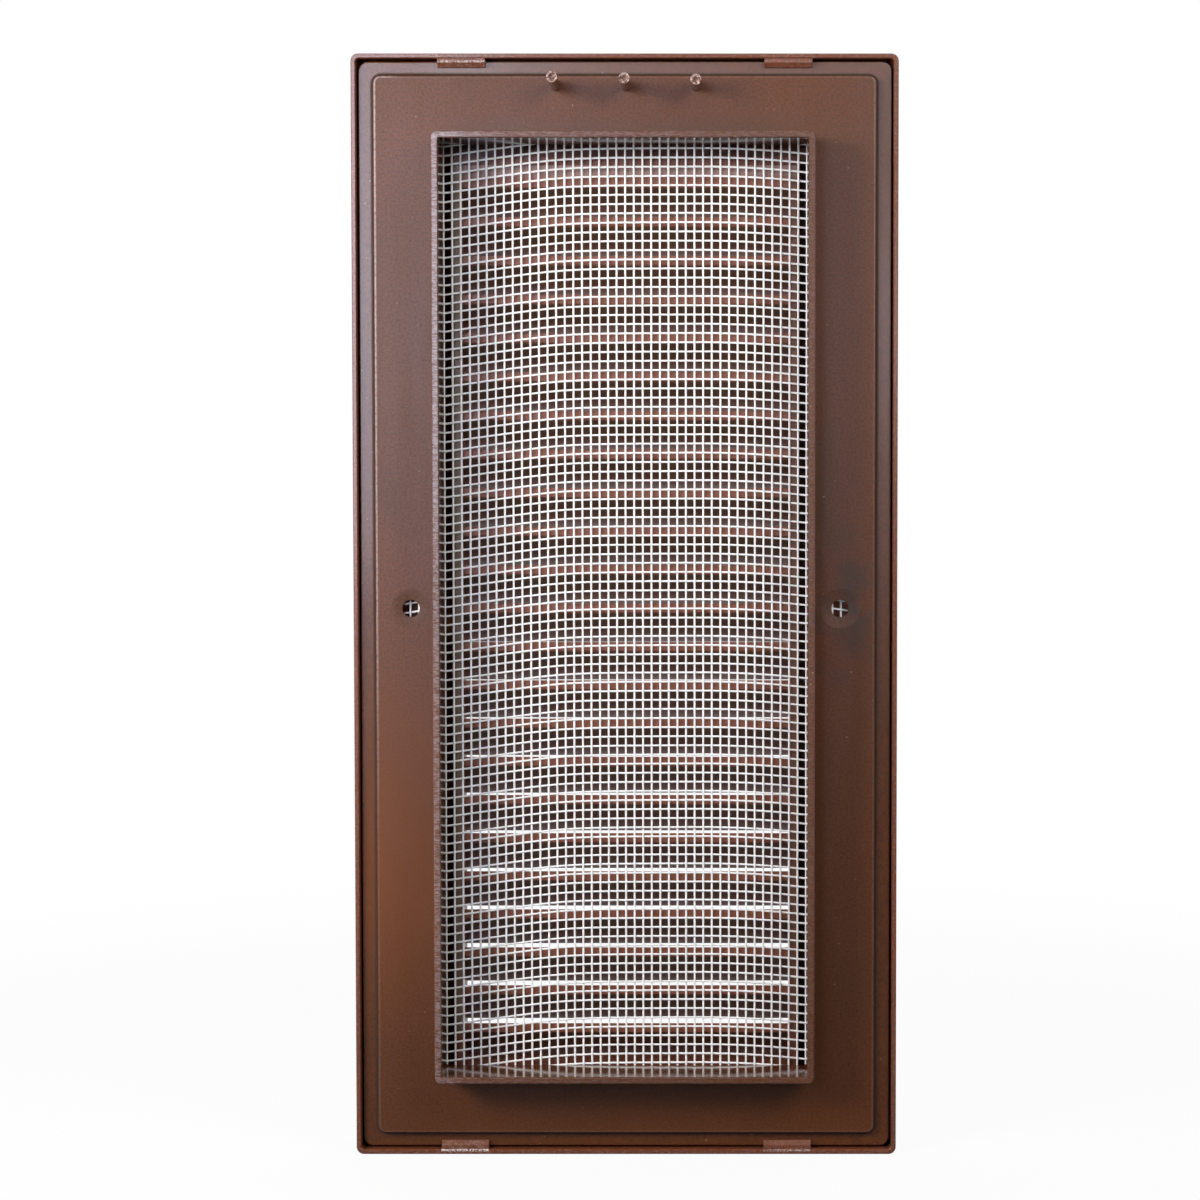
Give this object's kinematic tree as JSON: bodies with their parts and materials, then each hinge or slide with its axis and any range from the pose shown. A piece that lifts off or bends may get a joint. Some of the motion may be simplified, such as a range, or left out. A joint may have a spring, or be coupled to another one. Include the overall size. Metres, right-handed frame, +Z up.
{
  "type": "louvred vent",
  "caption": "Rectangular wall vent with sloped fixed louvres, a clip-on cover, a base frame with a duct collar and screw holes, and an insect screen between them.",
  "frame": {"origin": "centre of the duct opening, on the wall plane that the panel and the skirt edge lie against", "axes": "+Z up as hung on the wall, +Y out of the back into the duct, so the louvred face looks along -Y"},
  "size_m": [0.148, 0.029, 0.3],
  "materials": {
    "brown_base": "moulded brown plastic, fine matt texture",
    "brown_cover": "moulded brown plastic, satin",
    "white_mesh": "woven white plastic strands"
  },
  "bodies": {
    "root": {"base_frame": "brown_base", "louvre_cover": "brown_cover", "insect_screen": "white_mesh"}
  },
  "joints": []
}
